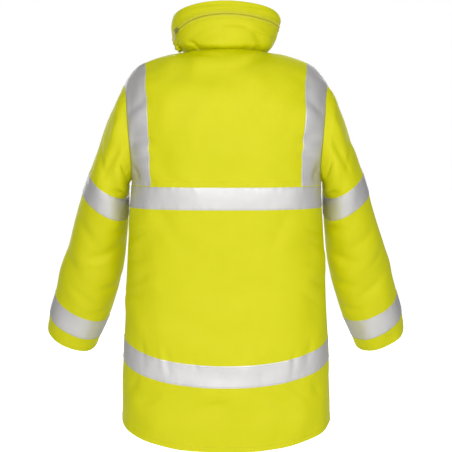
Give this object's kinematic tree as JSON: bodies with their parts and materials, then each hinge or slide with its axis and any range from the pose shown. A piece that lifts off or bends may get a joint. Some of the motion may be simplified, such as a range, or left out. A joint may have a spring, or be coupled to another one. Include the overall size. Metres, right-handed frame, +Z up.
{
  "type": "hi-vis work jacket, worn shape with nobody inside, held at the neck and shoulders",
  "caption": "Long hi-vis work jacket in its worn shape, hollow, with a tall hood collar, reflective bands and braces, and open neck, cuffs and hem.",
  "frame": {"origin": "middle of the neck, at the level of the back neck seam, where the wearer holds the jacket up", "axes": "+Z up, the front faces -Y, the back faces +Y, +X is the wearer's left"},
  "size_m": [0.898, 0.3822, 1.016],
  "materials": {
    "hi_vis_cloth": "coated woven polyester, fluorescent yellow",
    "reflective_tape": "silver glass-bead tape",
    "zip_tape": "woven tape with moulded teeth, yellow",
    "zip_metal": "worn nickel"
  },
  "bodies": {
    "jacket": {"back_panel": "hi_vis_cloth", "front_left": "hi_vis_cloth", "front_right": "hi_vis_cloth", "sleeve_left": "hi_vis_cloth", "sleeve_right": "hi_vis_cloth", "collar_stand": "hi_vis_cloth", "collar_rim": "hi_vis_cloth", "hood_zip": "zip_tape", "hood_zip_slider": "zip_metal", "front_zip_left": "zip_tape", "front_zip_right": "zip_tape", "front_zip_slider": "zip_metal", "chest_tape_back": "reflective_tape", "chest_tape_front_left": "reflective_tape", "chest_tape_front_right": "reflective_tape", "hem_tape_back": "reflective_tape", "hem_tape_front_left": "reflective_tape", "hem_tape_front_right": "reflective_tape", "brace_tape_back_left": "reflective_tape", "brace_tape_back_right": "reflective_tape", "brace_tape_front_left": "reflective_tape", "brace_tape_front_right": "reflective_tape", "sleeve_tape_upper_left": "reflective_tape", "sleeve_tape_upper_right": "reflective_tape", "sleeve_tape_cuff_left": "reflective_tape", "sleeve_tape_cuff_right": "reflective_tape"},
    "hood_pull": {"hood_zip_pull": "zip_metal"},
    "front_pull": {"front_zip_pull": "zip_metal"}
  },
  "joints": [
    {"name": "hood_pull_swing", "type": "hinge", "parent": "jacket", "child": "hood_pull", "pos_m": [0.11603, 0.04645, 0.04566], "axis": [0.4516, -0.8922, 0], "range_deg": [0, 165]},
    {"name": "front_pull_swing", "type": "hinge", "parent": "jacket", "child": "front_pull", "pos_m": [0, -0.12305, 0.012], "axis": [-1, 0, 0], "range_deg": [0, 165]}
  ]
}
